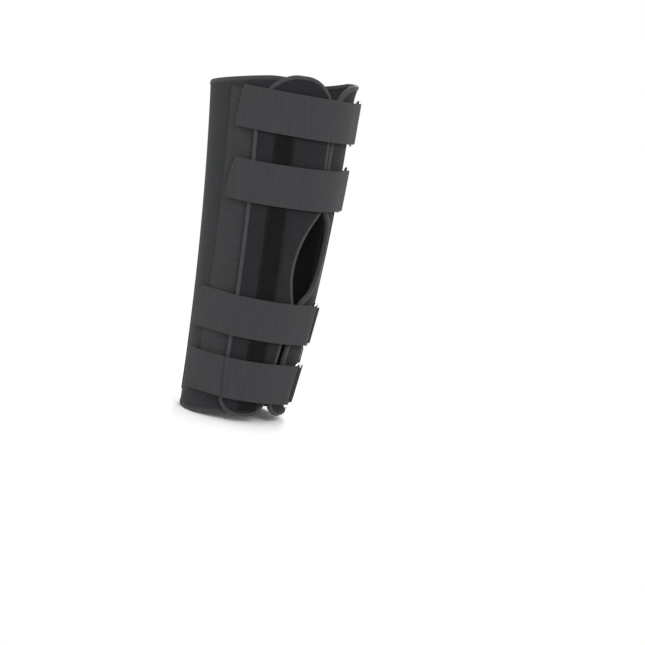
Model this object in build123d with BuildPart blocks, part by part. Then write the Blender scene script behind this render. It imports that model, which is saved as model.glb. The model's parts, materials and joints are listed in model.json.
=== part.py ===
"""Tri-panel knee immobiliser, 20 inch size, for a right leg.

The leg runs along +Z and the kneecap faces -Y, so the outer (lateral) side
of the leg is at -X.  Angles round the leg are measured from the front
towards the lateral side.  The origin is on the leg's axis, level with the
lowest edge of the rear panel.  All sizes are in millimetres.
"""
from build123d import *
import math
import os

os.makedirs("parts", exist_ok=True)

# ---- driving dimensions ----
length = 508.0            # overall length of the brace
bottom_radius = 67.5      # leg channel radius at the calf end
top_radius = 97.0         # leg channel radius at the thigh end
bow = 10.0                # the knee stands this far forward of the two ends
panel_bottom = 10.0       # lower end of the two side panels
strap_width = 60.0
wire = 4.0                # ring wire diameter
fold_gap = 0.3            # running clearance of webbing round a ring bar
ring_bars = 14.0          # distance between the two long bars of a ring
ring_length = strap_width + 6.4
keeper_width = 54.0
binding_width = 7.0

# ---- layers, as distances out from the leg channel ----
glue = 0.15               # glue line between two bonded layers
rear_foam_out = 6.0
landing_out = 7.2
hook_in, hook_out = 7.5, 8.8 - glue
side_in, side_out = 8.8, 14.8
stay_thick, pocket_thick = 1.6, 2.4
band_in, band_out = 8.6, 10.2
strap_thick = 1.6
inner_layer = 18.8        # inner face of the strap layer next to the panel
outer_layer = 21.0        # inner face of the strap's outer layer
single_layer = 19.1       # inner face of the outer layer beyond the inner layer's end
landed_layer = 10.2       # inner face where a strap lies on a landing strip
calf_layer = 13.0         # inner face where strap 4 lies on the calf band
fold_radius = wire / 2 + fold_gap
bar_offset = inner_layer + strap_thick + fold_radius

# angles between which each strap steps down over the lateral panel's rear edge
steps = {"strap_1": (58.5, 82.0), "strap_2": (57.5, 81.0), "strap_3": (56.0, 85.0), "strap_4": (55.0, 80.0)}

# name: (height, tilt, free bar angle, outer layer's end, inner layer's end)
straps = {
    "strap_1": (455.0, 2.0, -44.0, 81.0, 20.0),
    "strap_2": (354.0, 0.7, -44.0, 85.0, 14.0),
    "strap_3": (154.0, 3.5, -18.0, 107.0, 20.0),
    "strap_4": (62.0, 2.9, -10.0, 61.0, 110.0),
}
calf_strap = "strap_4"


def radius_at(z):
    return bottom_radius + (top_radius - bottom_radius) * z / length


def centre_at(z):
    """Forward (-Y) shift of the leg's axis, a parabola that peaks at the knee."""
    half = length / 2
    return -bow * (1 - ((z - half) / half) ** 2)


def on_circle(angle, radius):
    turn = math.radians(angle)
    return Vector(-radius * math.sin(turn), -radius * math.cos(turn))


def sector(plane, centre, radius, start, end, inner, outer):
    """Closed profile between two radii and two angles round the leg."""
    with BuildSketch(plane) as profile:
        with BuildLine():
            near = CenterArc(centre, radius + inner, 270 - start, start - end)
            far = CenterArc(centre, radius + outer, 270 - start, start - end)
            Line(near @ 0, far @ 0)
            Line(near @ 1, far @ 1)
        make_face()
    return profile.sketch


def shell_sections(low, high, inner, outer, start, end):
    """Three sector profiles from low to high; start and end take a height."""
    sections = []
    for z in (low, (low + high) / 2, high):
        centre = (0, centre_at(z))
        sections.append(sector(Plane.XY.offset(z), centre, radius_at(z), start(z), end(z), inner, outer))
    return sections


def strip_sections(low, high, inner, outer, centre_angle, width):
    """Sections of a strip of constant width that follows centre_angle(z)."""

    def half_angle(z):
        return math.degrees(width / 2 / (radius_at(z) + inner))

    def start(z):
        return centre_angle(z) - half_angle(z)

    def end(z):
        return centre_angle(z) + half_angle(z)

    return shell_sections(low, high, inner, outer, start, end)


def finish(block, name):
    block.part.label = name
    export_step(block.part, f"parts/{name}.step")


# ---------------------------------------------------------------- rear panel
rear_edge = 36.0          # the rear panel wraps round to this angle each side
rear_back = 112.5         # how far back the side view of the rear panel reaches
rear_slope = 0.2          # both of its ends slope down to the back by this much
slope_from = -60.0        # the top edge slopes from here, seen from the side
slope_to = 10.0           # and the bottom edge to here
reach = 150.0             # half width of the cutting profiles


def rear_sections(inner, outer, inset):
    return shell_sections(-20, length + 20, inner, outer, lambda z: rear_edge + inset,
                          lambda z: 360 - rear_edge - inset)


def rear_side_view(inset):
    """The rear panel seen from the side: both ends slope down to the back."""
    with BuildSketch(Plane.YZ) as view:
        with BuildLine():
            Polyline((-reach, rear_slope * (slope_to + reach) + inset), (slope_to, inset), (rear_back, inset),
                     (rear_back, length - rear_slope * (rear_back - slope_from) - inset),
                     (slope_from, length - inset), (-reach, length - inset), close=True)
        make_face()
    return view.sketch


with BuildPart() as rear_foam:
    loft(rear_sections(0, rear_foam_out, 0.6))
    extrude(rear_side_view(1.0), amount=reach, both=True, mode=Mode.INTERSECT)

with BuildPart() as rear_core:
    loft(rear_sections(-3, rear_foam_out + 3, 4.2))
    extrude(rear_side_view(binding_width), amount=reach, both=True, mode=Mode.INTERSECT)

with BuildPart() as rear_binding:
    loft(rear_sections(-0.6, rear_foam_out + 0.6, 0))
    extrude(rear_side_view(0), amount=reach, both=True, mode=Mode.INTERSECT)
    add(rear_core.part, mode=Mode.SUBTRACT)
    add(rear_foam.part, mode=Mode.SUBTRACT)

finish(rear_foam, "rear_foam")
finish(rear_binding, "rear_binding")

# stays and their pile pockets, one each side of the back's centre line
rear_stay_angles = {"lateral": 158.0, "medial": 202.0}
rear_stay_low, rear_stay_high = 30.0, 450.0
stay_width, pocket_width = 16.0, 30.0

for side, stay_angle in rear_stay_angles.items():
    with BuildPart() as rear_stay:
        loft(strip_sections(rear_stay_low, rear_stay_high, rear_foam_out + glue, rear_foam_out + stay_thick,
                            lambda z: stay_angle, stay_width))
    with BuildPart() as rear_channel:
        loft(strip_sections(rear_stay_low, rear_stay_high, rear_foam_out - 1, rear_foam_out + stay_thick,
                            lambda z: stay_angle, stay_width))
    with BuildPart() as rear_pocket:
        loft(strip_sections(rear_stay_low - 10, rear_stay_high + 10, rear_foam_out + glue,
                            rear_foam_out + pocket_thick, lambda z: stay_angle, pocket_width))
        add(rear_channel.part, mode=Mode.SUBTRACT)
    finish(rear_stay, f"rear_stay_{side}")
    finish(rear_pocket, f"rear_stay_pocket_{side}")

# loop landing strips: the side panels and the straps grip them
landing_low, landing_high = 92.0, 484.0
landing_under = 54.0      # angle of the edge hidden under the side panel


def landing_edge(z):
    return 91.5 + 8 * (length - z) / length


with BuildPart() as landing_lateral:
    loft(shell_sections(landing_low, landing_high, rear_foam_out + glue, landing_out,
                        lambda z: landing_under, landing_edge))
with BuildPart() as landing_medial:
    loft(shell_sections(landing_low, landing_high, rear_foam_out + glue, landing_out,
                        lambda z: 360 - landing_edge(z), lambda z: 360 - landing_under))
finish(landing_lateral, "landing_strip_lateral")
finish(landing_medial, "landing_strip_medial")

# webbing band sewn round the back of the calf, which strap 4 grips
with BuildPart() as calf_band:
    loft(shell_sections(straps[calf_strap][0] - 26, straps[calf_strap][0] + 32, band_in, band_out,
                        lambda z: 88, lambda z: 286))
finish(calf_band, "calf_band")

# ---------------------------------------------------------------- side panels
# Each outline is drawn on an upright plane that faces the panel's middle, from
# (angle, height) points on its front edge, round the kneecap, and its rear edge.
side_panels = {
    "lateral": dict(middle=28.0, top=(3.5, 64), front=(2.0, 392), above=(-3.5, 322), deep=(15.5, 245),
                    below=(8.5, 186), bottom=(15.5, 60), way=1, top_round=50),
    "medial": dict(middle=-36.0, top=(-3.4, -80), front=(-3.2, 392), above=(-10.5, 322), deep=(-31, 272),
                   below=(-3, 188), bottom=(6.5, -66), way=-1, top_round=36),
}
side_stay_low, side_stay_high = 34.0, 466.0
pocket_past_stay = 14.0   # the pocket runs past both ends of its stay
pocket_from_rear = 40.0   # rear edge to the middle of the stay pocket
hook_from_rear = 9.5      # degrees from the rear edge to the middle of the hook strip
side_pocket_width = 27.0


def facing_plane(angle):
    """Upright plane through the origin that faces out at this angle."""
    out = on_circle(angle, 1)
    return Plane(origin=(0, 0, 0), x_dir=(-out.Y, out.X, 0), z_dir=(out.X, out.Y, 0))


def on_plane(point, middle):
    """An (angle, height) point of a side panel's outer face, seen on its plane."""
    angle, z = point
    turn = math.radians(middle - angle)
    across = (radius_at(z) + side_out) * math.sin(turn) - centre_at(z) * math.sin(math.radians(middle))
    return (across, z)


def side_outline(panel, inset):
    """The panel's outline, drawn inset from its edge."""
    middle = panel["middle"]
    front_top, rear_top = [on_plane((angle, length), middle) for angle in panel["top"]]
    front_bottom, rear_bottom = [on_plane((angle, panel_bottom), middle) for angle in panel["bottom"]]
    front, above, deep, below = [on_plane(panel[name], middle) for name in ("front", "above", "deep", "below")]
    rear_angle = (panel["top"][1] + panel["bottom"][1]) / 2
    rear_middle = on_plane((rear_angle, (length + panel_bottom) / 2), middle)
    with BuildSketch(facing_plane(middle)) as outline:
        with BuildLine():
            Polyline(front_top, front, above)
            ThreePointArc(above, deep, below)
            Polyline(below, front_bottom, rear_bottom)
            ThreePointArc(rear_bottom, rear_middle, rear_top)
            Line(rear_top, front_top)
        make_face()
        fillet(outline.vertices().sort_by(Axis.Y)[-2:], panel["top_round"])
        fillet(outline.vertices().sort_by(Axis.Y)[:2], 26)
        for cusp in (above, below):
            fillet(outline.vertices().sort_by_distance(cusp)[:1], 16)
        if inset > 0:
            offset(amount=-inset, kind=Kind.INTERSECTION, mode=Mode.REPLACE)
    return outline.sketch


def side_sections(panel, inner, outer):
    return shell_sections(-10, length + 20, inner, outer, lambda z: panel["middle"] - 62,
                          lambda z: panel["middle"] + 62)


def pocket_angle(panel):
    """Middle line of the stay pocket, parallel to the panel's rear edge."""

    def angle(z):
        part = (z - panel_bottom) / (length - panel_bottom)
        rear = panel["bottom"][1] + (panel["top"][1] - panel["bottom"][1]) * part
        return rear - panel["way"] * math.degrees(pocket_from_rear / (radius_at(z) + side_out))

    return angle


def hook_angle(panel):
    """Middle line of the hook strip along the rear edge."""

    def angle(z):
        part = (z - panel_bottom) / (length - panel_bottom)
        rear = panel["bottom"][1] + (panel["top"][1] - panel["bottom"][1]) * part
        return rear - panel["way"] * hook_from_rear

    return angle


for side, panel in side_panels.items():
    with BuildPart() as side_foam:
        loft(side_sections(panel, side_in, side_out))
        extrude(side_outline(panel, 1.0), amount=reach, mode=Mode.INTERSECT)
    with BuildPart() as side_binding:
        loft(side_sections(panel, side_in - 0.6, side_out + 0.6))
        extrude(side_outline(panel, 0), amount=reach, mode=Mode.INTERSECT)
        extrude(side_outline(panel, binding_width), amount=reach, mode=Mode.SUBTRACT)
        add(side_foam.part, mode=Mode.SUBTRACT)
    with BuildPart() as side_stay:
        loft(strip_sections(side_stay_low, side_stay_high, side_out + glue, side_out + stay_thick,
                            pocket_angle(panel), stay_width))
    with BuildPart() as side_channel:
        loft(strip_sections(side_stay_low, side_stay_high, side_out - 1, side_out + stay_thick,
                            pocket_angle(panel), stay_width))
    with BuildPart() as side_pocket:
        loft(strip_sections(side_stay_low - pocket_past_stay, side_stay_high + pocket_past_stay, side_out + glue,
                            side_out + pocket_thick, pocket_angle(panel), side_pocket_width))
        add(side_channel.part, mode=Mode.SUBTRACT)
    with BuildPart() as side_hook:
        loft(strip_sections(100, 470, hook_in, hook_out, hook_angle(panel), 16))
    finish(side_foam, f"{side}_foam")
    finish(side_binding, f"{side}_binding")
    finish(side_stay, f"{side}_stay")
    finish(side_pocket, f"{side}_stay_pocket")
    finish(side_hook, f"{side}_hook_strip")

# ---------------------------------------------------------------- straps


def strap_plane(name, rise):
    """Cross-section plane of a strap, rise above its middle, tilted about Y."""
    height, tilt = straps[name][:2]
    turn = math.radians(tilt)
    up = Vector(math.sin(turn), 0, math.cos(turn))
    middle = Vector(0, centre_at(height + rise), height)
    return Plane(origin=middle + up * rise, x_dir=(math.cos(turn), 0, -math.sin(turn)), z_dir=up)


def ease(value, start, end):
    """0 before start, 1 after end, and a smooth step between them."""
    part = min(max((value - start) / (end - start), 0), 1)
    return part * part * (3 - 2 * part)


def outer_offset(name, angle):
    """Inner face of the strap's outer layer, from the fold to its end."""
    bar, outer_end, inner_end = straps[name][2:]
    at_bar = bar_offset + fold_radius
    doubled = at_bar + (outer_layer - at_bar) * ease(angle, bar, bar + 20)
    if name == calf_strap:
        return doubled
    single = doubled + (single_layer - outer_layer) * ease(angle, inner_end + 2, inner_end + 24)
    return single + (landed_layer - single_layer) * ease(angle, *steps[name])


def inner_offset(name, angle):
    """Inner face of the strap layer that lies on the panel."""
    if name != calf_strap:
        return inner_layer
    return inner_layer + (calf_layer - inner_layer) * ease(angle, *steps[name])


def layer_line(offset_at, name, radius, start, end, extra):
    """Points along one face of a strap layer, about every five degrees."""
    count = max(4, round(abs(end - start) / 5))
    angles = [start + (end - start) * step / count for step in range(count + 1)]
    return [on_circle(angle, radius + offset_at(name, angle) + extra) for angle in angles]


def strap_profile(name, rise):
    """The folded strap in cross-section: two layers and the bend round the bar."""
    height, tilt, bar, outer_end, inner_end = straps[name]
    radius = radius_at(height + rise)
    centre = on_circle(bar, radius + bar_offset)
    beside = on_circle(bar, 1).rotate(Axis.Z, 90)
    with BuildSketch(strap_plane(name, rise)) as profile:
        with BuildLine():
            under = Spline(layer_line(outer_offset, name, radius, bar, outer_end, 0))
            over = Spline(layer_line(outer_offset, name, radius, bar, outer_end, strap_thick))
            back = Spline(layer_line(inner_offset, name, radius, bar, inner_end, 0))
            front = Spline(layer_line(inner_offset, name, radius, bar, inner_end, strap_thick))
            Line(under @ 1, over @ 1)
            Line(back @ 1, front @ 1)
            ThreePointArc(under @ 0, centre + beside * fold_radius, front @ 0)
            ThreePointArc(over @ 0, centre + beside * (fold_radius + strap_thick), back @ 0)
        make_face()
    return profile.sketch


def patch_sections(name, half_width, offset_at, extra, thick, start, end):
    """Sections of a thin patch that follows one strap layer."""
    sections = []
    for rise in (-half_width, half_width):
        radius = radius_at(straps[name][0] + rise)
        with BuildSketch(strap_plane(name, rise)) as profile:
            with BuildLine():
                near = Spline(layer_line(offset_at, name, radius, start, end, extra))
                far = Spline(layer_line(offset_at, name, radius, start, end, extra + thick))
                Line(near @ 0, far @ 0)
                Line(near @ 1, far @ 1)
            make_face()
        sections.append(profile.sketch)
    return sections


def bar_centre(name, rise, rear):
    """Centre of a ring bar on a strap's cross-section plane."""
    height, tilt, bar = straps[name][:3]
    centre = on_circle(bar, radius_at(height + rise) + bar_offset)
    if rear:
        to_rear = math.degrees(ring_bars / 2 / (radius_at(height) + bar_offset))
        centre = centre + on_circle(bar - to_rear, 1).rotate(Axis.Z, 90) * ring_bars
    return centre


def bar_sections(name, half_width, radius):
    """Round sections about a ring's rear bar."""
    sections = []
    for rise in (-half_width, half_width):
        centre = bar_centre(name, rise, True)
        plane = strap_plane(name, rise)
        placed = Plane(origin=plane.from_local_coords(centre), x_dir=plane.x_dir, z_dir=plane.z_dir)
        with BuildSketch(placed) as profile:
            Circle(radius)
        sections.append(profile.sketch)
    return sections


def ring_plane(name):
    """Plane of a ring: X from its free bar to its rear bar, Y up along the bars."""
    lower, upper = [strap_plane(name, rise) for rise in (-30, 30)]
    free_low = lower.from_local_coords(bar_centre(name, -30, False))
    free_high = upper.from_local_coords(bar_centre(name, 30, False))
    rear_low = lower.from_local_coords(bar_centre(name, -30, True))
    rear_high = upper.from_local_coords(bar_centre(name, 30, True))
    along = (free_high - free_low).normalized()
    across = ((rear_low - free_low) - along * (rear_low - free_low).dot(along)).normalized()
    middle = (free_low + free_high + rear_low + rear_high) * 0.25
    return Plane(origin=middle, x_dir=across, z_dir=across.cross(along))


tab_length = 9.0          # degrees of a strap's end that its hook tab covers
tab_gap = 0.15            # glue line between the grip tab and its strap
end_gap = 0.3             # glue line between the hook tab and its strap's end
keeper_reach = 17.0       # degrees from the ring's rear bar to the keeper's end
tab_thick = 0.8
grip_thick = outer_layer - inner_layer - strap_thick - 2 * tab_gap

for name, (height, tilt, bar, outer_end, inner_end) in straps.items():
    half = strap_width / 2
    with BuildPart() as strap:
        loft([strap_profile(name, -half), strap_profile(name, half)], ruled=True)
    finish(strap, name)

    landed = inner_offset if name == calf_strap else outer_offset
    last = max(outer_end, inner_end)
    with BuildPart() as hook_tab:
        loft(patch_sections(name, half - 3, landed, -tab_thick - end_gap, tab_thick,
                            last - tab_length, last - 1), ruled=True)
    finish(hook_tab, f"{name}_hook_tab")

    first = min(outer_end, inner_end)
    with BuildPart() as grip_tab:
        loft(patch_sections(name, half - 3, inner_offset, strap_thick + tab_gap, grip_thick,
                            first - 22, first - 3), ruled=True)
    finish(grip_tab, f"{name}_grip_tab")

    plane = ring_plane(name)
    with BuildSketch(plane) as loop:
        RectangleRounded(ring_bars, ring_length, 3)
    path = loop.sketch.wire()
    with BuildPart() as ring:
        with BuildSketch(Plane(origin=path @ 0, z_dir=path % 0)):
            Circle(wire / 2)
        sweep(path=path)
    finish(ring, f"{name}_ring")

    half_keeper = keeper_width / 2
    rear_bar = bar - math.degrees(ring_bars / (radius_at(height) + bar_offset))
    with BuildPart() as keeper:
        tab = [sector(strap_plane(name, rise), (0, 0), radius_at(height + rise), rear_bar - keeper_reach,
                      rear_bar, inner_layer + 2 * glue, inner_layer + 2 * strap_thick)
               for rise in (-half_keeper, half_keeper)]
        loft(tab, ruled=True)
        loft(bar_sections(name, half_keeper, fold_radius + strap_thick), ruled=True)
        loft(bar_sections(name, half_keeper + 1, fold_radius), ruled=True, mode=Mode.SUBTRACT)
    finish(keeper, f"{name}_ring_keeper")
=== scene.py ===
"""Looks of the three-panel knee immobiliser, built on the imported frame.

Metres. +Z up the leg, the kneecap faces -Y, the outer side of the leg is -X.
Angles round the leg run from the front towards -X. An offset is a distance
out from the leg channel, which is a cone with a slightly bowed axis.
"""
import bmesh
import bpy
import json
import math
import numpy as np
from mathutils import Matrix, Vector
from mathutils.bvhtree import BVHTree


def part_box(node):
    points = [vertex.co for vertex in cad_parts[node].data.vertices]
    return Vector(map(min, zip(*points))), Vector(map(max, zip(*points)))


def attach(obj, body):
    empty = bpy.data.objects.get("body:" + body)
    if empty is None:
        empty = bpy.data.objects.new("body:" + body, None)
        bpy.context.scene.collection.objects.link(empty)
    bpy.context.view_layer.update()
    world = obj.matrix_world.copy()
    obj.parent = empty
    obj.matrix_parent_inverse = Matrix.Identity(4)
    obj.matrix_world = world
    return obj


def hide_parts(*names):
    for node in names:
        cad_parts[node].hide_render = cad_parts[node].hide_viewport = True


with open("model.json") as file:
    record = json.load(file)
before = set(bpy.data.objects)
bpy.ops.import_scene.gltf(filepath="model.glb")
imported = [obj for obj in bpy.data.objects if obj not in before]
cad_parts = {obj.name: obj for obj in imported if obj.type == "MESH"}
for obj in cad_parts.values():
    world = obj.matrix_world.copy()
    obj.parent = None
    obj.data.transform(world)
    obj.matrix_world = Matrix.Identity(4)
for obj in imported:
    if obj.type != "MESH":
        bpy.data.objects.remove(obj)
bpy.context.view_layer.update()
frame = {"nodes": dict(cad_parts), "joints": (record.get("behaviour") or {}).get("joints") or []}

nodes = frame["nodes"]
joints = {joint["name"]: joint for joint in frame["joints"]}

WEBBING = 0.0016          # strap thickness
STRAP_HALF = 0.030        # half of a strap's width
WIRE = 0.004              # ring wire diameter
FOLD = 0.0031             # bar centre to the middle of the webbing round it
TAPE = 0.0035             # half of the binding's width
TAPE_STEP = 0.0022        # distance between the sections of the binding
TAPE_PROUD = 0.0007       # how far the binding stands proud of the foam
SIDE_MARGIN = 0.0034      # from the outer edge of the binding to the edge of the pad inside it
REAR_MARGIN = 0.0036
REAR_SINK = 0.00012       # the rear pad's face lies this far under the strips
KEEPER_HALF = 0.027       # half of a keeper's width
HOOK_SEAMS = (0.085, 0.11)    # radians from a strap's end to the seams that hold its hook tab

# ---------------------------------------------------------------- the leg channel


def tree_of(*names):
    points, faces = [], []
    for name in names:
        mesh = nodes[name].data
        first = len(points)
        points += [vertex.co.copy() for vertex in mesh.vertices]
        faces += [[first + index for index in face.vertices] for face in mesh.polygons]
    return BVHTree.FromPolygons(points, faces)


def fit_leg():
    """Radius and axis of the leg channel against height, from rays inside the rear panel."""
    tree = tree_of("rear_foam")
    heights = np.linspace(0.03, 0.46, 15)
    radii, centres = [], []
    for z in heights:
        back = tree.ray_cast(Vector((0, 0, z)), Vector((0, 1, 0)))[3]
        aside = tree.ray_cast(Vector((0, 0, z)), Vector((-1, 0, 0)))[3]
        radius = (back + aside ** 2 / back) / 2
        radii.append(radius)
        centres.append(back - radius)
    return np.polyfit(heights, radii, 1), np.polyfit(heights, centres, 2)


radius_fit, centre_fit = fit_leg()


def radius_at(z):
    return np.polyval(radius_fit, z)


def centre_at(z):
    return np.polyval(centre_fit, z)


def place(angle, z, offset):
    """Points at these angles (radians), heights and offsets."""
    angle, z, offset = np.broadcast_arrays(np.asarray(angle, float), z, offset)
    reach = radius_at(z) + offset
    return np.stack([-reach * np.sin(angle), centre_at(z) - reach * np.cos(angle), z], -1)


def outward(angle):
    angle = np.asarray(angle, float)
    return np.stack([-np.sin(angle), -np.cos(angle), np.zeros_like(angle)], -1)


def outer_face(tree, angle, z):
    """Offset of the outermost face at this angle and height, or None."""
    start = place(angle, z, 0.06)
    hit = tree.ray_cast(Vector(start), -Vector(outward(angle)), 0.066)
    return None if hit[0] is None else 0.06 - hit[3]


def inner_face(tree, angle, z):
    """Offset of the innermost face at this angle and height."""
    start = place(angle, z, 0.002)
    return 0.002 + tree.ray_cast(Vector(start), Vector(outward(angle)))[3]


def last_covered(covered, inside, outside):
    """The furthest value from inside towards outside that is still covered."""
    for _ in range(22):
        middle = (inside + outside) / 2
        if covered(middle):
            inside = middle
        else:
            outside = middle
    return inside


def angle_of(point):
    return math.atan2(-point[0], -(point[1] - centre_at(point[2])))


# ---------------------------------------------------------------- mesh helpers


def add_mesh(name, points, faces, body, material, uv=None):
    mesh = bpy.data.meshes.new(name)
    mesh.from_pydata([tuple(point) for point in points], [], [tuple(face) for face in faces])
    if uv is not None:
        layer = mesh.uv_layers.new(name="UVMap")
        corners = np.zeros(len(mesh.loops), int)
        mesh.loops.foreach_get("vertex_index", corners)
        layer.data.foreach_set("uv", np.asarray(uv, np.float32)[corners].ravel())
    cleaned = bmesh.new()
    cleaned.from_mesh(mesh)
    bmesh.ops.recalc_face_normals(cleaned, faces=cleaned.faces)
    cleaned.to_mesh(mesh)
    cleaned.free()
    mesh.polygons.foreach_set("use_smooth", [True] * len(mesh.polygons))
    mesh.materials.append(material)
    made = bpy.data.objects.new(name, mesh)
    bpy.context.scene.collection.objects.link(made)
    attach(made, body)
    return made


def closed_sheet(top, bottom, uv):
    """Vertices, faces and UVs of a closed sheet from two grids of points."""
    rows, columns = top.shape[:2]
    points = np.concatenate([top.reshape(-1, 3), bottom.reshape(-1, 3)])
    index = np.arange(rows * columns).reshape(rows, columns)
    low = index + rows * columns
    faces = []
    for a in range(rows - 1):
        for b in range(columns - 1):
            faces.append((index[a, b], index[a, b + 1], index[a + 1, b + 1], index[a + 1, b]))
            faces.append((low[a, b], low[a + 1, b], low[a + 1, b + 1], low[a, b + 1]))
    rim = [(0, b) for b in range(columns)] + [(a, columns - 1) for a in range(1, rows)]
    rim += [(rows - 1, b) for b in range(columns - 2, -1, -1)] + [(a, 0) for a in range(rows - 2, 0, -1)]
    for here, there in zip(rim, rim[1:] + rim[:1]):
        faces.append((index[here], low[here], low[there], index[there]))
    return points, faces, np.concatenate([uv.reshape(-1, 2)] * 2)


def stations(length, step, soft):
    """Distances along a length, close together where its two ends are rounded."""
    ends = soft * np.array([0, 0.06, 0.2, 0.45, 1])
    count = max(3, round((length - 2 * soft) / step) + 1)
    middle = np.linspace(soft, length - soft, count)[1:-1]
    return np.concatenate([ends, middle, length - ends[::-1]])


def rounding(distance, soft):
    """From 0.25 at an edge to 1 at soft inside it, as a quarter circle."""
    part = np.clip(distance / soft, 0, 1)
    return 0.25 + 0.75 * np.sqrt(1 - (1 - part) ** 2)


def waves(angle, z, size, seed):
    """Smooth low relief between -1 and 1, features about size metres long."""
    total = 0
    for turn in range(4):
        spin = seed + 1.7 * turn
        along = angle * 0.1 * math.cos(spin) + z * math.sin(spin)
        total = total + np.sin(along * 2 * math.pi / (size * (1 + 0.37 * turn)) + 2.1 * spin)
    return total / 4


def resampled(path, step, closed):
    """The path with points evenly spaced, about step apart."""
    path = np.asarray(path, float)
    if closed:
        path = np.concatenate([path, path[:1]])
    run = np.concatenate([[0], np.cumsum(np.linalg.norm(np.diff(path, axis=0), axis=1))])
    count = max(4, round(run[-1] / step))
    wanted = np.linspace(0, run[-1], count + 1)
    made = np.stack([np.interp(wanted, run, path[:, axis]) for axis in range(path.shape[1])], -1)
    return made[:-1] if closed else made


def smoothed(path, times):
    """A closed path with its corners softened."""
    for _ in range(times):
        path = (np.roll(path, 1, 0) + 2 * path + np.roll(path, -1, 0)) / 4
    return path


def inset(path, distance):
    """A closed anticlockwise flat path moved inwards."""
    along = np.roll(path, -1, 0) - np.roll(path, 1, 0)
    along /= np.linalg.norm(along, axis=1)[:, None]
    return path + np.stack([-along[:, 1], along[:, 0]], -1) * distance


# ---------------------------------------------------------------- materials


def new_material(name, colour, roughness, metallic=0.0, sheen=0.0):
    material = bpy.data.materials.new(name)
    material.use_nodes = True
    shader = material.node_tree.nodes["Principled BSDF"]
    shader.inputs["Base Color"].default_value = (*colour, 1)
    shader.inputs["Roughness"].default_value = roughness
    shader.inputs["Metallic"].default_value = metallic
    shader.inputs["Sheen Weight"].default_value = sheen
    shader.inputs["Sheen Roughness"].default_value = 0.6
    shader.inputs["Specular IOR Level"].default_value = 0.5 if metallic else 0.15
    return material, shader


def add_noise(material, scale, detail, stretch=(1, 1)):
    """Noise over a piece's UVs, which are in metres; scale is cells to the metre."""
    tree = material.node_tree
    coordinates = tree.nodes.new("ShaderNodeTexCoord")
    mapping = tree.nodes.new("ShaderNodeMapping")
    mapping.inputs["Scale"].default_value = (stretch[0], stretch[1], 1)
    noise = tree.nodes.new("ShaderNodeTexNoise")
    noise.inputs["Scale"].default_value = scale
    noise.inputs["Detail"].default_value = detail
    tree.links.new(coordinates.outputs["UV"], mapping.inputs["Vector"])
    tree.links.new(mapping.outputs["Vector"], noise.inputs["Vector"])
    return noise.outputs["Fac"]


def colour_from(material, value, low, high, start=0.35, end=0.65):
    tree = material.node_tree
    ramp = tree.nodes.new("ShaderNodeValToRGB")
    ramp.color_ramp.elements[0].position = start
    ramp.color_ramp.elements[1].position = end
    ramp.color_ramp.elements[0].color = (*low, 1)
    ramp.color_ramp.elements[1].color = (*high, 1)
    tree.links.new(value, ramp.inputs["Fac"])
    return ramp.outputs["Color"]


def add_bump(material, shader, value, depth):
    tree = material.node_tree
    bump = tree.nodes.new("ShaderNodeBump")
    bump.inputs["Distance"].default_value = depth
    bump.inputs["Strength"].default_value = 1.0
    tree.links.new(value, bump.inputs["Height"])
    tree.links.new(bump.outputs["Normal"], shader.inputs["Normal"])


def cloth(name, colour, roughness, sheen, contrast, grain, depth, stretch=(1, 1)):
    """A brushed or woven fabric: mottled colour and a fine grain."""
    material, shader = new_material(name, colour, roughness, sheen=sheen)
    patches = add_noise(material, 60, 4, stretch)
    low = tuple(channel * (1 - contrast) for channel in colour)
    high = tuple(channel * (1 + contrast) for channel in colour)
    tint = colour_from(material, patches, low, high)
    material.node_tree.links.new(tint, shader.inputs["Base Color"])
    fine = add_noise(material, grain, 3, stretch)
    add_bump(material, shader, fine, depth)
    return material


materials = {
    "rear": cloth("rear_laminate", (0.0155, 0.0168, 0.0185), 0.95, 0.06, 0.08, 900, 0.00012),
    "side": cloth("side_laminate", (0.0105, 0.0103, 0.0128), 0.95, 0.05, 0.1, 900, 0.00012),
    "binding": cloth("binding_tape", (0.034, 0.034, 0.037), 0.85, 0.08, 0.08, 1400, 0.00008),
    "strap": cloth("brushed_strap", (0.0300, 0.0283, 0.0310), 0.95, 0.06, 0.07, 700, 0.00014, (4, 0.35)),
    "landing": cloth("loop_landing", (0.0255, 0.0248, 0.0272), 0.95, 0.06, 0.08, 800, 0.00014, (0.5, 3)),
    "pile": cloth("close_pile", (0.0027, 0.0029, 0.0024), 0.97, 0.02, 0.3, 700, 0.00025),
    "hook": cloth("hook_nylon", (0.006, 0.006, 0.0065), 0.6, 0.0, 0.2, 1500, 0.0003),
    "thread": cloth("sewing_thread", (0.022, 0.022, 0.024), 0.8, 0.04, 0.05, 2000, 0.00005),
}
materials["chrome"] = new_material("bright_chrome", (0.82, 0.83, 0.85), 0.12, metallic=1.0)[0]
materials["aluminium"] = new_material("plain_aluminium", (0.72, 0.72, 0.74), 0.38, metallic=1.0)[0]

# ---------------------------------------------------------------- stitching

stitch_points = {}


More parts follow.
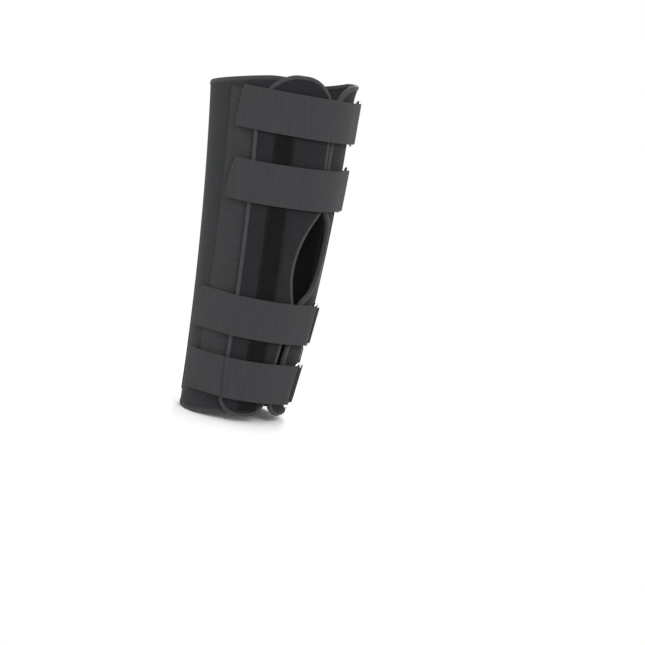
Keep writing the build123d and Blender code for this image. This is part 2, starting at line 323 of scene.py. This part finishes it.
def stitch_line(body, path, normals, closed=False, pitch=0.0034, size=0.0024):
    """Rows of slim stitches along a path of points, kept for one mesh a body."""
    kept = stitch_points.setdefault(body, ([], []))
    both = resampled(np.concatenate([path, normals], 1), pitch, closed)
    spots, lifts = both[:, :3], both[:, 3:]
    ahead = np.roll(spots, -1, 0) - spots
    last = len(spots) if closed else len(spots) - 1
    for spot, lift, along in zip(spots[:last], lifts[:last], ahead[:last]):
        along = along / np.linalg.norm(along)
        lift = lift / np.linalg.norm(lift)
        side = np.cross(along, lift)
        middle = spot + along * pitch / 2
        first = len(kept[0])
        kept[0].append(middle - along * size / 2 - lift * 0.0001)
        for reach in (-0.28, 0.28):
            for turn in range(4):
                angle = math.pi / 2 * turn + math.pi / 4
                ring = side * math.cos(angle) + lift * math.sin(angle)
                kept[0].append(middle + along * size * reach + ring * 0.00032)
        kept[0].append(middle + along * size / 2 - lift * 0.0001)
        for turn in range(4):
            a, b = first + 1 + turn, first + 1 + (turn + 1) % 4
            kept[1].append((first, b, a))
            kept[1].append((a, b, b + 4, a + 4))
            kept[1].append((first + 9, a + 4, b + 4))


def strip_seams(body, low, high, edges, offset, gap=0.0016):
    """Stitching just inside the edges of a strip on the leg's surface."""
    heights = np.linspace(low + gap, high - gap, 60)
    for side, sign in ((0, 1), (1, -1)):
        angles = np.array([edges(z)[side] + sign * gap / (radius_at(z) + offset) for z in heights])
        stitch_line(body, place(angles, heights, offset), outward(angles))
    for z in (low + gap, high - gap):
        angles = np.linspace(*edges(z), 12)
        stitch_line(body, place(angles, z, offset), outward(angles))


# ---------------------------------------------------------------- side panels

FLARE_FROM = 0.486        # the medial panel's top stands away from the thigh
FLARE_HEIGHT = 0.022
FLARE_OUT = 0.004
ARCH_FROM = 0.478         # the padding swells the lateral panel's arched top upwards
ARCH_RISE = 0.0055


def flare(side, z):
    if side != "medial":
        return 0 * np.asarray(z, float)
    part = np.clip((np.asarray(z, float) - FLARE_FROM) / FLARE_HEIGHT, 0, 1)
    return FLARE_OUT * part ** 1.4


def side_outline(side):
    """Heights and both edge angles of a side panel."""
    tree = tree_of(side + "_foam", side + "_binding")
    low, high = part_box(side + "_binding")
    low, high = low.z + 0.0002, high.z - 0.0002
    ends = []
    for z in (low, high):
        near = [v.co for v in nodes[side + "_binding"].data.vertices if abs(v.co.z - z) < 0.0004]
        ends.append(np.mean([angle_of(point) for point in near]))
    heights = low + (high - low) * (1 - np.cos(np.linspace(0, math.pi, 140))) / 2
    rows = []
    for z in heights:
        middle = ends[0] + (ends[1] - ends[0]) * (z - low) / (high - low)

        def covered(angle):
            return outer_face(tree, angle, z) is not None

        rows.append([last_covered(covered, middle, middle + reach) for reach in (-1.1, 1.1)])
    return heights, np.array(rows)


def tape(name, body, flat, middle, half_thick, side=""):
    """A rolled binding along a closed flat path of (arc length, height)."""
    path = smoothed(resampled(flat, TAPE_STEP, True), 3)
    path = inset(path, TAPE - 0.0001)
    reach = radius_at(path[:, 1]) + middle
    angles = path[:, 0] / reach
    centre = place(angles, path[:, 1], middle + flare(side, path[:, 1]))
    lift = outward(angles)
    along = np.roll(centre, -1, 0) - np.roll(centre, 1, 0)
    along /= np.linalg.norm(along, axis=1)[:, None]
    across = np.cross(along, lift)
    across /= np.linalg.norm(across, axis=1)[:, None]
    lift = np.cross(across, along)
    around = 18
    run = np.arange(len(path)) * TAPE_STEP
    points, uv = [], []
    for step in range(around):
        turn = 2 * math.pi * step / around
        wide = math.copysign(abs(math.cos(turn)) ** 0.8, math.cos(turn)) * TAPE
        tall = math.copysign(abs(math.sin(turn)) ** 0.8, math.sin(turn)) * half_thick
        pucker = 1 + 0.02 * np.sin(run * 2 * math.pi / 0.0068 + step)
        points.append(centre + across * wide + lift * (tall * pucker)[:, None])
        uv.append(np.stack([run, np.full(len(run), step * 0.0013)], -1))
    points, uv = np.array(points), np.array(uv)
    count = len(path)
    faces = []
    for step in range(around):
        for spot in range(count):
            a, b = (step + 1) % around, (spot + 1) % count
            faces.append((step * count + spot, a * count + spot, a * count + b, step * count + b))
    made = add_mesh(name, points.reshape(-1, 3), faces, body, materials["binding"], uv.reshape(-1, 2))
    seam = inset(path, TAPE - 0.0013)
    for sign in (1, -1):
        level = middle + sign * (half_thick * 0.86)
        seam_angles = seam[:, 0] / reach
        seam_points = place(seam_angles, seam[:, 1], level + flare(side, seam[:, 1]))
        stitch_line(body, seam_points, outward(seam_angles) * sign, True)
    return made


def between(heights, edges, z, side):
    return np.interp(z, heights, edges[:, side])


for side in ("lateral", "medial"):
    body = side + "_side"
    heights, edges = side_outline(side)
    if side == "lateral":
        swell = np.clip((heights - ARCH_FROM) / (heights[-1] - ARCH_FROM), 0, 1)
        heights = heights + ARCH_RISE * swell ** 1.5
    tree = tree_of(side + "_foam")
    mid_z = 0.27
    mid_angle = (between(heights, edges, mid_z, 0) + between(heights, edges, mid_z, 1)) / 2
    inner = inner_face(tree, mid_angle, mid_z)
    outer = outer_face(tree, mid_angle, mid_z)

    rows = stations(heights[-1] - heights[0] - 2 * SIDE_MARGIN, 0.0032, 0.004) + heights[0] + SIDE_MARGIN
    share = stations(1.0, 0.03, 0.05)
    first = between(heights, edges, rows, 0) + SIDE_MARGIN / (radius_at(rows) + outer)
    last = between(heights, edges, rows, 1) - SIDE_MARGIN / (radius_at(rows) + outer)
    angle = first[:, None] + (last - first)[:, None] * share[None, :]
    z = np.repeat(rows[:, None], len(share), 1)
    crown = np.sin(np.pi * np.clip(share, 0, 1))[None, :] ** 0.5
    relief = 0.0005 * crown + 0.00035 * waves(angle, z, 0.07, 1.0) * crown
    top = place(angle, z, outer - 0.0002 + relief + flare(side, z))
    bottom = place(angle, z, inner + 0.0002 + flare(side, z))
    points, faces, uvs = closed_sheet(top, bottom, np.stack([angle * 0.1, z], -1))
    pad = add_mesh(side + "_pad", points, faces, body, materials["side"], uvs)
    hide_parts(side + "_foam")

    up = np.stack([edges[:, 1] * (radius_at(heights) + (inner + outer) / 2), heights], -1)
    down = np.stack([edges[:, 0] * (radius_at(heights) + (inner + outer) / 2), heights], -1)[::-1]
    trim = tape(side + "_edge_tape", body, np.concatenate([up, down]), (inner + outer) / 2,
                (outer - inner) / 2 + TAPE_PROUD, side)
    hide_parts(side + "_binding")

# ---------------------------------------------------------------- strips on the panels


def strip_edges(node):
    """Ends of an upright strip, its edge angles at a height, and its inner and outer offsets.

    The search starts at -180 degrees and follows the strip one way. A piece that
    crosses the middle of the back, as the calf band does, is found from there on
    only, so calf_band_webbing lacks the lateral half of the band.
    """
    tree = tree_of(node)
    low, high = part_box(node)
    low, high = low.z + 0.0005, high.z - 0.0005
    found = []

    def covered(angle):
        return outer_face(tree, angle, z) is not None

    for z in np.linspace(low + 0.002, high - 0.002, 7):
        middle = None
        for angle in np.linspace(-math.pi, math.pi, 361):
            if covered(angle):
                middle = angle
                break
        if middle is None:
            continue
        step = math.radians(1)
        end = middle
        while covered(end + step):
            end += step
        first = last_covered(covered, middle, middle - step)
        found.append([first, last_covered(covered, end, end + step), z])
    found = np.array(found)
    fits = [np.polyfit(found[:, 2], found[:, side], 2) for side in (0, 1)]
    middle = found[len(found) // 2]
    centre = (middle[0] + middle[1]) / 2

    def edges(z):
        return np.polyval(fits[0], z), np.polyval(fits[1], z)

    inner = inner_face(tree, centre, middle[2])
    return low - 0.0005, high + 0.0005, edges, inner, outer_face(tree, centre, middle[2])


def make_strip(name, node, body, material, soft=0.0011, side=""):
    """A thin strip with rounded edges that stands for a CAD strip."""
    low, high, edges, inner, outer = strip_edges(node)
    rows = low + stations(high - low, 0.004, soft * 2)
    a, b = edges(rows)
    width = float(np.mean(b - a) * (radius_at((low + high) / 2) + outer))
    across = stations(width, 0.0035, soft * 2) / width
    angle = a[:, None] + (b - a)[:, None] * across[None, :]
    z = np.repeat(rows[:, None], len(across), 1)
    from_side = np.minimum(across, 1 - across)[None, :] * width
    from_edge = np.minimum(from_side, np.minimum(rows - low, high - rows)[:, None])
    thick = outer - inner
    fuzz = 0.00008 * waves(angle, z, 0.02, 3.0)
    top = place(angle, z, inner + thick * rounding(from_edge, soft) + fuzz + flare(side, z))
    bottom = place(angle, z, inner + flare(side, z) + 0 * angle)
    uv = np.stack([angle * 0.1, z], -1)
    points, faces, uvs = closed_sheet(top, bottom, uv)
    made = add_mesh(name, points, faces, body, material, uvs)
    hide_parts(node)
    strip_seams(body, low, high, edges, outer - 0.00012)


for side in ("lateral", "medial"):
    make_strip(side + "_pocket_pile", side + "_stay_pocket", side + "_side", materials["pile"],
               side=side)
    make_strip(side + "_landing", "landing_strip_" + side, "rear_panel", materials["landing"])
    make_strip("rear_pocket_" + side, "rear_stay_pocket_" + side, "rear_panel", materials["pile"])

# ---------------------------------------------------------------- rear panel

rear_tree = tree_of("rear_foam", "rear_binding")
foam_tree = tree_of("rear_foam")
REAR_MIDDLE = math.pi


def rear_covered(angle, z):
    return outer_face(rear_tree, angle, z) is not None


rear_first = last_covered(lambda a: rear_covered(a, 0.25), REAR_MIDDLE, math.radians(10))
rear_last = last_covered(lambda a: rear_covered(a, 0.25), REAR_MIDDLE, math.radians(350))
rear_angles = np.linspace(rear_first + 0.001, rear_last - 0.001, 150)
rear_low = np.array([last_covered(lambda z: rear_covered(a, z), 0.25, -0.02) for a in rear_angles])
rear_high = np.array([last_covered(lambda z: rear_covered(a, z), 0.25, 0.53) for a in rear_angles])
rear_inner = inner_face(foam_tree, REAR_MIDDLE, 0.25)
rear_outer = outer_face(foam_tree, REAR_MIDDLE, 0.25)

columns = stations(rear_last - rear_first - 0.08, 0.035, 0.03) + rear_first + 0.04
share = stations(1.0, 0.008, 0.01)
low_edge = np.interp(columns, rear_angles, rear_low) + REAR_MARGIN
high_edge = np.interp(columns, rear_angles, rear_high) - REAR_MARGIN
z = low_edge[None, :] + (high_edge - low_edge)[None, :] * share[:, None]
angle = np.repeat(columns[None, :], len(share), 0)
relief = 0.0003 * waves(angle, z, 0.09, 5.0)
top = place(angle, z, rear_outer - REAR_SINK + np.minimum(relief, 0.0001))
bottom = place(angle, z, rear_inner + 0.0001 + 0 * angle)
points, faces, uvs = closed_sheet(top, bottom, np.stack([angle * 0.09, z], -1))
rear_pad = add_mesh("rear_pad", points, faces, "rear_panel", materials["rear"], uvs)
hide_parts("rear_foam")

rear_mid = (rear_inner + rear_outer) / 2
along_low = np.stack([rear_angles * (radius_at(rear_low) + rear_mid), rear_low], -1)
along_high = np.stack([rear_angles * (radius_at(rear_high) + rear_mid), rear_high], -1)
side_heights = np.linspace(0, 1, 80)[1:-1]
last_z = rear_low[-1] + (rear_high[-1] - rear_low[-1]) * side_heights
first_z = rear_high[0] + (rear_low[0] - rear_high[0]) * side_heights
up_last = np.stack([rear_angles[-1] * (radius_at(last_z) + rear_mid), last_z], -1)
down_first = np.stack([rear_angles[0] * (radius_at(first_z) + rear_mid), first_z], -1)
rear_flat = np.concatenate([along_low, up_last, along_high[::-1], down_first])
rear_flat = smoothed(resampled(rear_flat, TAPE_STEP, True), 14)
rear_half = (rear_outer - rear_inner) / 2 + TAPE_PROUD
rear_trim = tape("rear_edge_tape", "rear_panel", rear_flat, rear_mid, rear_half)
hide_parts("rear_binding")

# ---------------------------------------------------------------- straps


def ribbon(name, path, normals, softness, body, material, uv):
    """A closed ribbon about a grid of mid-surface points, thinner at its rim."""
    lift = normals * (WEBBING / 2 * softness)[..., None]
    points, faces, uvs = closed_sheet(path + lift, path - lift, uv)
    return add_mesh(name, points, faces, body, material, uvs)


def unit(vector):
    vector = np.asarray(vector, float)
    return vector / np.linalg.norm(vector)


def joint_line(name):
    joint = joints[name]
    axis = unit(joint["axis"])
    return np.array(joint["pos_m"], float), axis / axis[2]


def strap_middle(node):
    """Height of a strap's middle line against the sine of the angle."""
    tree = tree_of(node)
    low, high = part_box(node)
    guess = (low.z + high.z) / 2
    points = []
    for angle in np.radians(np.arange(0, 60, 8.0)):
        if outer_face(tree, angle, guess) is None:
            continue
        up = last_covered(lambda z: outer_face(tree, angle, z) is not None, guess, guess + 0.06)
        down = last_covered(lambda z: outer_face(tree, angle, z) is not None, guess, guess - 0.06)
        points.append((math.sin(angle), (up + down) / 2))
    points = np.array(points)
    return np.polyfit(points[:, 0], points[:, 1], 1)


# the shape of each strap's outer end: lean of the cut and how far its corners are rounded, in degrees
ENDS = {
    "strap_1": dict(lean=3.0, corner=1.2, grow=0.5),
    "strap_2": dict(lean=3.5, corner=3.0, grow=0.5),
    "strap_3": dict(lean=3.5, corner=7.0, grow=4.5),
    "strap_4": dict(lean=-1.5, corner=0.4, grow=0.0),
}


def layer_offsets(tree, middle_at, angles, from_outside):
    measure = outer_face if from_outside else inner_face
    sign = -1 if from_outside else 1
    return np.array([measure(tree, a, middle_at(a)) + sign * WEBBING / 2 for a in angles])


def make_strap(node):
    number = node.split("_")[1]
    body = node + "_body"
    tree = tree_of(node)
    bar, bar_axis = joint_line(f"strap_{number}_peel")
    bar_angle = angle_of(bar)
    middle_fit = strap_middle(node)

    def middle_at(angle):
        return np.polyval(middle_fit, np.sin(angle))

    def covered(angle):
        return outer_face(tree, angle, middle_at(angle)) is not None

    def two_layers(angle):
        seen = outer_face(tree, angle, middle_at(angle)) - inner_face(tree, angle, middle_at(angle))
        return seen > WEBBING * 1.8

    far_end = last_covered(covered, 0.3, 2.6)
    folded_end = last_covered(two_layers, bar_angle + 0.12, far_end)
    outer_end, inner_end = far_end, folded_end
    if number == "4":
        outer_end, inner_end = folded_end, far_end
    width_stations = stations(2 * STRAP_HALF, 0.0034, 0.0014) - STRAP_HALF
    shape = ENDS[node]
    lean = math.radians(shape["lean"]) * width_stations / STRAP_HALF
    corner_part = np.clip((np.abs(width_stations) / STRAP_HALF - 0.55) / 0.45, 0, 1)
    rounded = math.radians(shape["corner"]) * (1 - np.sqrt(1 - np.minimum(corner_part, 0.999) ** 2))
    outer_ends = outer_end + math.radians(shape["grow"]) - lean - rounded

    start = bar_angle + 0.02
    outer_angles = np.linspace(start, outer_end - 0.004, 60)
    outer_offsets = layer_offsets(tree, middle_at, outer_angles, True)
    inner_angles = np.linspace(start, inner_end - 0.004, 50)
    inner_offsets = layer_offsets(tree, middle_at, inner_angles, False)
    bar_offset = np.hypot(bar[0], bar[1] - centre_at(bar[2])) - radius_at(bar[2])

    path, normals, run_uv = [], [], []
    spacing = np.concatenate([[1, 0.998, 0.994, 0.985], np.linspace(0.97, 0, 56)])
    for part in spacing:
        angles = bar_angle + (outer_ends - bar_angle) * part
        offsets = np.interp(angles, outer_angles, outer_offsets)
        near = np.clip((angles - bar_angle) / 0.12, 0, 1)
        offsets = (bar_offset + FOLD) * (1 - near) + offsets * near
        path.append(place(angles, middle_at(angles) + width_stations, offsets))
        normals.append(outward(angles))
        run_uv.append(angles * 0.1)
    beside = np.array([math.cos(bar_angle), -math.sin(bar_angle), 0.0])
    radial = outward(bar_angle)
    heights = middle_at(bar_angle) + width_stations
    bar_centres = bar[None, :] + bar_axis[None, :] * (heights - bar[2])[:, None]
    for turn in np.linspace(0, math.pi, 12)[1:-1]:
        direction = radial * math.cos(turn) + beside * math.sin(turn)
        path.append(bar_centres + direction * FOLD)
        normals.append(np.repeat(direction[None, :], len(heights), 0))
        run_uv.append(np.full(len(heights), (bar_angle * 0.1) - 0.003 * turn))
    inner_spacing = np.concatenate([np.linspace(0, 0.97, 40), [0.985, 0.994, 0.998, 1]])
    for part in inner_spacing:
        angles = bar_angle + (inner_end - bar_angle) * part + 0 * width_stations
        offsets = np.interp(angles, inner_angles, inner_offsets)
        near = np.clip((angles - bar_angle) / 0.05, 0, 1)
        offsets = (bar_offset - FOLD) * (1 - near) + offsets * near
        path.append(place(angles, middle_at(angles) + width_stations, offsets))
        normals.append(-outward(angles))
        run_uv.append(bar_angle * 0.1 - 0.01 - (angles - bar_angle) * 0.1)
    path, normals = np.array(path), np.array(normals)
    soft_ends = np.concatenate([[0.3, 0.6, 0.85, 0.97], np.ones(len(path) - 8), [0.97, 0.85, 0.6, 0.3]])
    soft_sides = rounding(STRAP_HALF - np.abs(width_stations), 0.0012)
    softness = soft_ends[:, None] * soft_sides[None, :]
    ripple = 0.00012 * waves(np.array(run_uv) * 10, path[..., 2], 0.03, float(number))
    path = path + normals * ripple[..., None]
    uv = np.stack([np.array(run_uv), np.repeat(width_stations[None, :], len(path), 0)], -1)
    made = ribbon(node + "_webbing", path, normals, softness, body, materials["strap"], uv)
    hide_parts(node)
    # two rows of stitching across the strap hold its hook tab
    for back in HOOK_SEAMS:
        angle = outer_end - back
        offset = float(np.interp(angle, outer_angles, outer_offsets)) + WEBBING / 2 - 0.0001
        across = np.linspace(-STRAP_HALF + 0.004, STRAP_HALF - 0.004, 12)
        lifts = np.repeat(outward(angle)[None, :], 12, 0)
        stitch_line(body, place(angle, middle_at(angle) + across, offset), lifts)


for number in range(1, 5):
    make_strap(f"strap_{number}")

# ---------------------------------------------------------------- rings and keepers


def make_ring(number):
    """A smooth closed wire loop round the two bar lines."""
    free, axis = joint_line(f"strap_{number}_peel")
    rear, rear_axis = joint_line(f"ring_{number}_swing")
    up = unit(axis + rear_axis)
    across = rear - free
    across -= up * np.dot(across, up)
    gap = np.linalg.norm(across)
    across /= gap
    middle = (free + rear) / 2
    reach = [np.dot(np.array(v.co) - middle, up) for v in nodes[f"strap_{number}_ring"].data.vertices]
    middle = middle + up * (max(reach) + min(reach)) / 2
    half_long = (max(reach) - min(reach)) / 2 - WIRE / 2
    bend = 0.003
    corners = [(gap / 2 - bend, half_long - bend, 0), (-gap / 2 + bend, half_long - bend, 90),
               (-gap / 2 + bend, -half_long + bend, 180), (gap / 2 - bend, -half_long + bend, 270)]
    flat = []
    for x, y, first in corners:
        for turn in np.radians(np.linspace(first, first + 90, 9)):
            flat.append((x + bend * math.cos(turn), y + bend * math.sin(turn)))
    flat = np.array(flat)
    centre = middle + across * flat[:, :1] + up * flat[:, 1:]
    along = np.roll(centre, -1, 0) - np.roll(centre, 1, 0)
    along /= np.linalg.norm(along, axis=1)[:, None]
    lift = np.cross(across, up)
    side = np.cross(along, lift)
    around, count = 20, len(flat)
    rings = [centre + (side * math.cos(t) + lift * math.sin(t)) * WIRE / 2
             for t in np.linspace(0, 2 * math.pi, around, endpoint=False)]
    faces = []
    for step in range(around):
        for spot in range(count):
            a, b = (step + 1) % around, (spot + 1) % count
            faces.append((step * count + spot, a * count + spot, a * count + b, step * count + b))
    made = add_mesh(f"ring_{number}_wire", np.concatenate(rings), faces, f"ring_{number}",
                    materials["chrome"])
    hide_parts(f"strap_{number}_ring")


def make_keeper(number):
    """A webbing tab sewn to the medial panel, folded round the ring's rear bar."""
    node = f"strap_{number}_ring_keeper"
    tree = tree_of(node)
    bar, axis = joint_line(f"ring_{number}_swing")
    bar_angle = angle_of(bar)
    bar_offset = np.hypot(bar[0], bar[1] - centre_at(bar[2])) - radius_at(bar[2])
    far = last_covered(lambda a: outer_face(tree, a, bar[2]) is not None, bar_angle - 0.06, bar_angle - 0.6)
    inner = inner_face(tree, (far + bar_angle) / 2, bar[2]) + WEBBING / 2
    outer = outer_face(tree, far + 0.04, bar[2]) - WEBBING / 2
    width = stations(2 * KEEPER_HALF, 0.0034, 0.0014) - KEEPER_HALF
    ups = axis[None, :] * width[:, None]
    path, normals = [], []

    def layer(part, offset_at_end, at_bar, reach):
        angle = bar_angle + (far - bar_angle) * part
        blend = np.clip((bar_angle - angle) / reach, 0, 1)
        blend = blend * blend * (3 - 2 * blend)
        offset = at_bar + (offset_at_end - at_bar) * blend
        return place(angle, bar[2], offset)[None, :] + ups, np.repeat(outward(angle)[None, :], len(width), 0)

    for part in np.concatenate([[1, 0.99, 0.96], np.linspace(0.92, 0, 20)]):
        points, lifts = layer(part, outer, bar_offset + FOLD, 0.11)
        path.append(points)
        normals.append(lifts)
    beside = -np.array([math.cos(bar_angle), -math.sin(bar_angle), 0.0])
    radial = outward(bar_angle)
    for turn in np.linspace(0, math.pi, 12)[1:-1]:
        direction = radial * math.cos(turn) + beside * math.sin(turn)
        path.append(bar[None, :] + ups + direction * FOLD)
        normals.append(np.repeat(direction[None, :], len(width), 0))
    for part in np.concatenate([np.linspace(0, 0.92, 20), [0.96, 0.99, 1]]):
        points, lifts = layer(part, inner, bar_offset - FOLD, 0.11)
        path.append(points)
        normals.append(-lifts)
    path, normals = np.array(path), np.array(normals)
    soft_ends = np.concatenate([[0.4, 0.8, 0.97], np.ones(len(path) - 6), [0.97, 0.8, 0.4]])
    softness = soft_ends[:, None] * rounding(KEEPER_HALF - np.abs(width), 0.0012)[None, :]
    run = np.linspace(0, 0.06, len(path))
    uv = np.stack([np.repeat(run[:, None], len(width), 1), np.repeat(width[None, :], len(path), 0)], -1)
    made = ribbon(node + "_webbing", path, normals, softness, "medial_side", materials["strap"],
                  uv)
    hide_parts(node)
    near = bar_angle + (far - bar_angle) * 0.5
    end = bar_angle + (far - bar_angle) * 0.93
    lift = outer + WEBBING / 2 - 0.0001
    rim = KEEPER_HALF - 0.003
    box = [(near, -rim), (end, -rim), (end, rim), (near, rim), (near, -rim)]
    cross = [[box[0], box[2]], [box[1], box[3]]]
    for line in [box] + cross:
        spots = resampled([(a * 0.1, w) for a, w in line], 0.002, False)
        spots = np.stack([spots[:, 0] * 10, spots[:, 1]], -1)
        points = place(spots[:, 0], bar[2], lift) + axis[None, :] * spots[:, 1:]
        stitch_line("medial_side", points, outward(spots[:, 0]), pitch=0.003)


for number in range(1, 5):
    make_ring(number)
    make_keeper(number)

# ---------------------------------------------------------------- calf band and the plain CAD pieces

make_strip("calf_band_webbing", "calf_band", "rear_panel", materials["strap"], soft=0.0009)

for body, (points, faces) in stitch_points.items():
    add_mesh(body + "_stitches", points, faces, body, materials["thread"])

plain = {"hook_tab": "hook", "grip_tab": "hook", "hook_strip": "hook", "_stay": "aluminium"}
for name, node in nodes.items():
    rear_stay = name.startswith("rear_stay_") and "pocket" not in name
    for ending, material in plain.items():
        if name.endswith(ending) or (ending == "_stay" and rear_stay):
            node.data.materials.clear()
            node.data.materials.append(materials[material])

# ---------------------------------------------------------------- camera, floor and lights

AZIMUTH, ELEVATION, ROLL = math.radians(-50), math.radians(7.0), math.radians(9.0)
DISTANCE, LENS, SENSOR = 3.0, 113.0, 36.0
TARGET = np.array([0.0, -0.006, 0.254])
AIM_RIGHT, AIM_UP = 0.0963, -0.1155      # the frame's middle lies this far from the target

back = np.array([math.sin(AZIMUTH) * math.cos(ELEVATION), -math.cos(AZIMUTH) * math.cos(ELEVATION),
                 math.sin(ELEVATION)])
level = np.array([math.cos(AZIMUTH), math.sin(AZIMUTH), 0])
upright = np.cross(back, level)
right = level * math.cos(ROLL) + upright * math.sin(ROLL)
upper = -level * math.sin(ROLL) + upright * math.cos(ROLL)
eye = TARGET + back * DISTANCE
aim = TARGET + right * AIM_RIGHT + upper * AIM_UP
behind = unit(eye - aim)
right = unit(np.cross(upper, behind))
upper = np.cross(behind, right)
camera = bpy.data.objects.new("camera", bpy.data.cameras.new("camera"))
bpy.context.scene.collection.objects.link(camera)
camera.data.lens = LENS
camera.data.sensor_width = SENSOR
camera.matrix_world = Matrix(np.column_stack([np.vstack([np.column_stack([right, upper, behind]), [0, 0, 0]]),
                                              [*eye, 1]]).tolist())
bpy.context.scene.camera = camera


def add_light(name, place_at, size, power, colour=(1, 1, 1)):
    lamp = bpy.data.lights.new(name, "AREA")
    lamp.size = size
    lamp.energy = power
    lamp.color = colour
    made = bpy.data.objects.new(name, lamp)
    bpy.context.scene.collection.objects.link(made)
    made.location = place_at
    made.rotation_mode = "QUATERNION"
    made.rotation_quaternion = (Vector(TARGET) - Vector(place_at)).to_track_quat("-Z", "Y")


add_light("key", (-1.0, -2.0, 1.6), 0.9, 34)
add_light("fill", (-2.2, 0.2, 0.6), 1.2, 10)
add_light("rim", (1.4, 0.8, 1.4), 0.7, 22)

bpy.context.scene.view_settings.view_transform = "Standard"
bpy.context.scene.view_settings.look = "None"

world = bpy.data.worlds.new("white")
bpy.context.scene.world = world
world.use_nodes = True
world.node_tree.nodes["Background"].inputs["Color"].default_value = (1, 1, 1, 1)
world.node_tree.nodes["Background"].inputs["Strength"].default_value = 1.0

floor_points = [(-3, -3, -0.0005), (3, -3, -0.0005), (3, 3, -0.0005), (-3, 3, -0.0005)]
floor_mesh = bpy.data.meshes.new("floor")
floor_mesh.from_pydata(floor_points, [], [(0, 1, 2, 3)])
floor = bpy.data.objects.new("floor", floor_mesh)
bpy.context.scene.collection.objects.link(floor)
floor_material, floor_shader = new_material("pale_floor", (0.9, 0.9, 0.9), 0.9)
fade_tree = floor_material.node_tree
fade_at = fade_tree.nodes.new("ShaderNodeTexCoord")
fade = fade_tree.nodes.new("ShaderNodeVectorMath")
fade.operation = "LENGTH"
fade_tree.links.new(fade_at.outputs["Object"], fade.inputs[0])
fade_ramp = fade_tree.nodes.new("ShaderNodeMapRange")
fade_ramp.inputs["From Min"].default_value = 0.1
fade_ramp.inputs["From Max"].default_value = 0.6
fade_ramp.inputs["To Min"].default_value = 1.0
fade_ramp.inputs["To Max"].default_value = 0.0
fade_tree.links.new(fade.outputs["Value"], fade_ramp.inputs["Value"])
fade_tree.links.new(fade_ramp.outputs["Result"], floor_shader.inputs["Alpha"])
floor_mesh.materials.append(floor_material)
